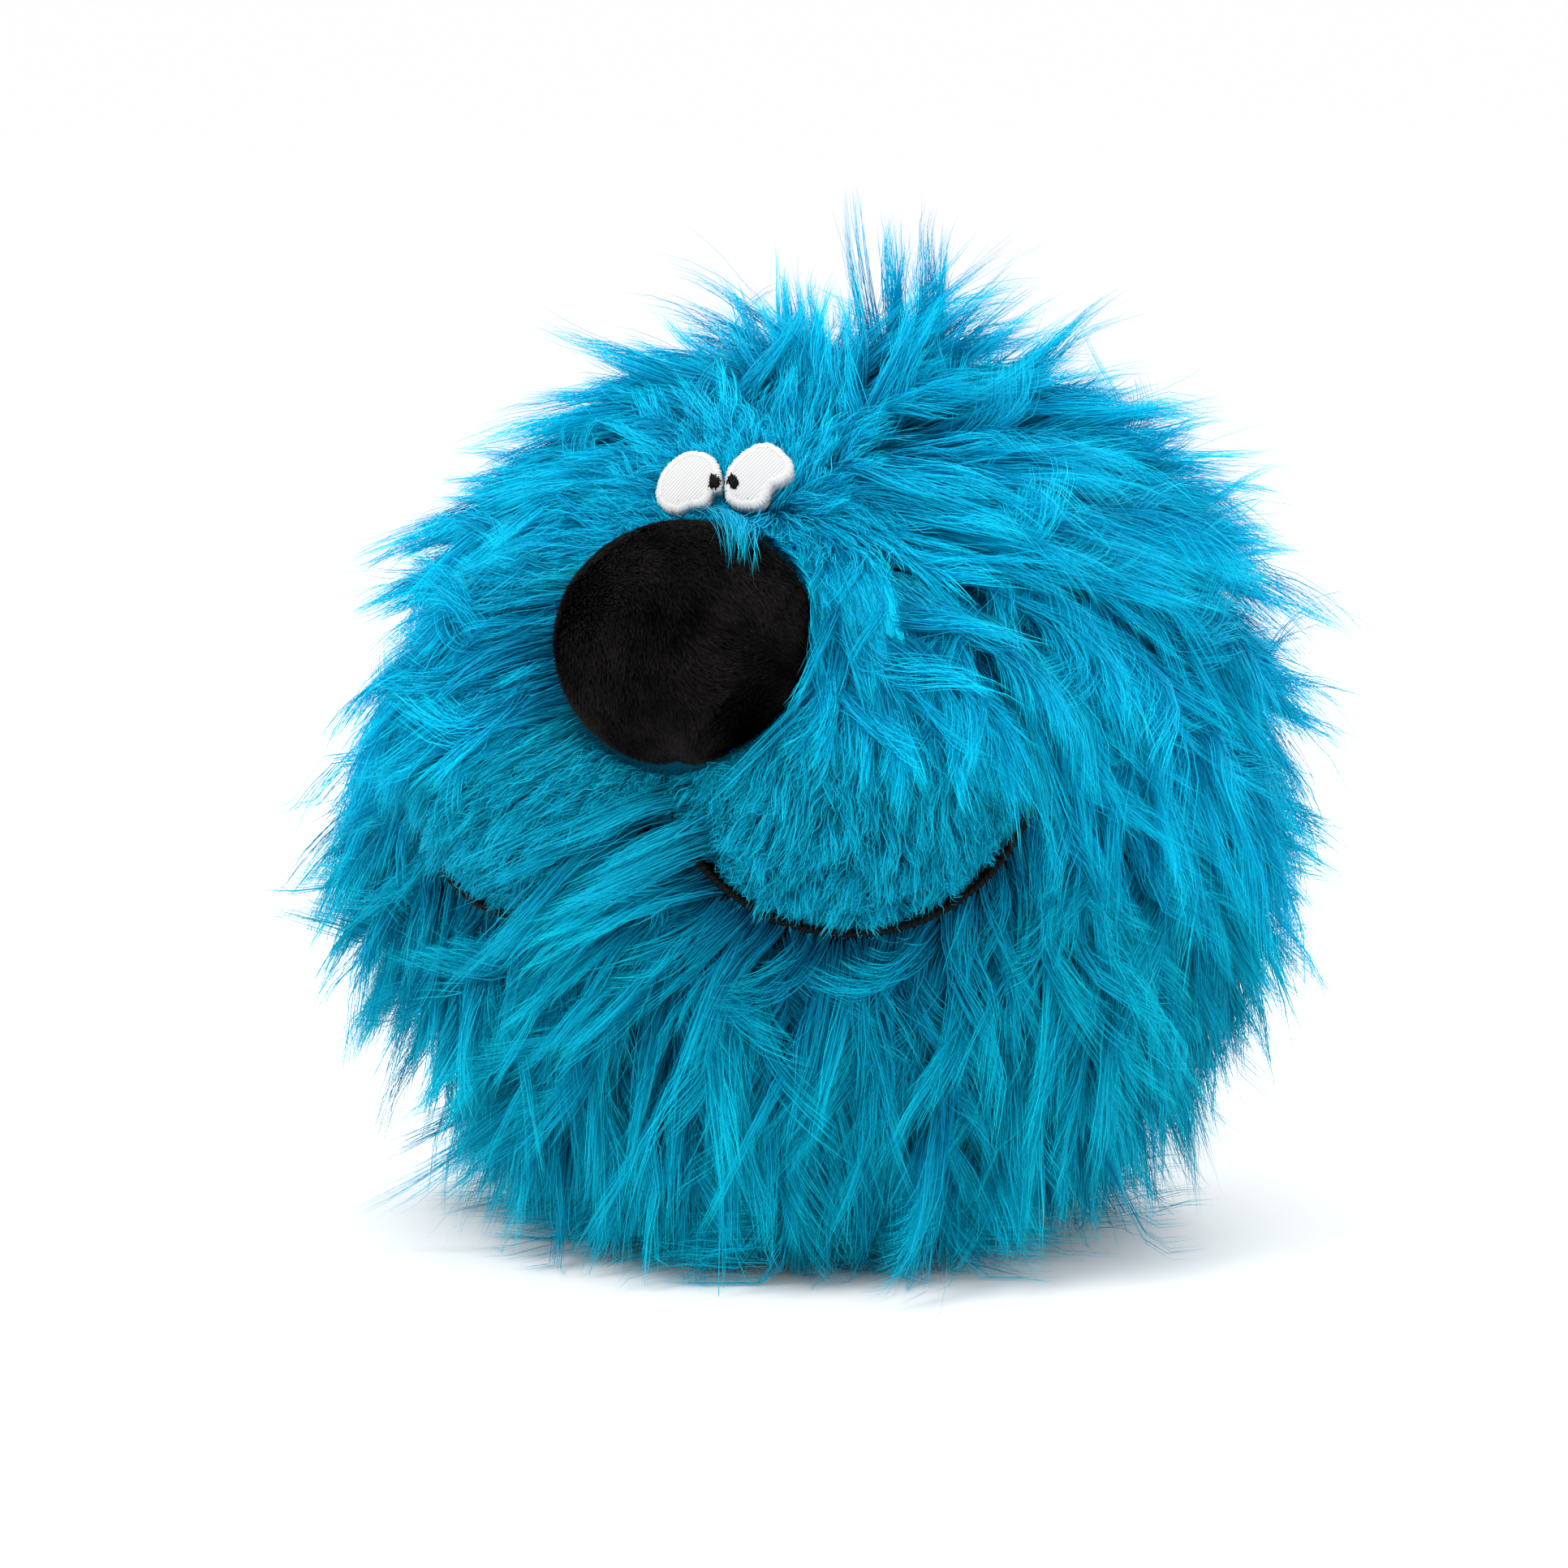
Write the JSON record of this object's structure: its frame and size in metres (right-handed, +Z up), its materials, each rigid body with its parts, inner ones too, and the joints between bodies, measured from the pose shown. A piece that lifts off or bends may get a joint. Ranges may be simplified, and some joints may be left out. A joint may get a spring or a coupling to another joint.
{
  "type": "moving mouth puppet",
  "caption": "Round shaggy hand puppet with a plush nose, two stitched eyes, a padded muzzle and a jaw that opens on a cloth hinge, worked by a hand from below.",
  "frame": {"origin": "centre of the base on the resting plane", "axes": "+Z up, the face looks along -Y, +X is the side of the piece's own left cheek when the face is seen from the front on the right"},
  "size_m": [0.272, 0.2727, 0.27],
  "materials": {
    "long_pile": "long shaggy faux-fur pile",
    "short_pile": "trimmed silky faux-fur pile",
    "muzzle_pile": "trimmed silky faux-fur pile, slightly greener",
    "fibre_fill": "bonded polyester fibre",
    "nose_plush": "short velvety plush",
    "black_thread": "stitched polyester thread",
    "white_thread": "satin-stitched polyester thread",
    "white_twill": "woven twill",
    "mouth_cloth": "short velvety plush",
    "stiff_board": "matt",
    "sleeve_cloth": "knitted lining cloth",
    "binding_tape": "folded woven tape"
  },
  "bodies": {
    "head": {"crown_stuffing": "fibre_fill", "brow_stuffing_left": "fibre_fill", "brow_stuffing_right": "fibre_fill", "head_stuffing_left": "fibre_fill", "head_stuffing_right": "fibre_fill", "fur_crown_left": "long_pile", "fur_crown_right": "long_pile", "fur_back_left": "long_pile", "fur_back_right": "long_pile", "fur_side_left": "long_pile", "fur_side_right": "long_pile", "fur_forehead": "short_pile", "fur_base": "long_pile", "muzzle_left": "muzzle_pile", "muzzle_right": "muzzle_pile", "muzzle_fill_left": "fibre_fill", "muzzle_fill_right": "fibre_fill", "lip_cord_left": "black_thread", "lip_cord_right": "black_thread", "nose_cover": "nose_plush", "nose_fill": "fibre_fill", "eye_left": "white_twill", "eye_right": "white_twill", "eye_border_left": "white_thread", "eye_border_right": "white_thread", "pupil_left": "black_thread", "pupil_right": "black_thread", "upper_mouth_lining": "mouth_cloth", "hinge_tape": "mouth_cloth", "finger_plate": "stiff_board", "finger_pocket": "sleeve_cloth", "hand_sleeve": "sleeve_cloth", "opening_binding": "binding_tape"},
    "jaw": {"fur_chin_left": "long_pile", "fur_chin_right": "long_pile", "jaw_stuffing": "fibre_fill", "jaw_plate": "stiff_board", "lower_mouth_lining": "mouth_cloth", "throat_lining": "mouth_cloth", "thumb_pocket": "sleeve_cloth"}
  },
  "joints": [
    {"name": "jaw_hinge", "type": "hinge", "parent": "head", "child": "jaw", "pos_m": [0, -0.04, 0.112], "axis": [1, 0, 0], "range_deg": [0, 20], "stiffness_Nm_per_rad": 0.5, "springref_deg": -8.59}
  ]
}
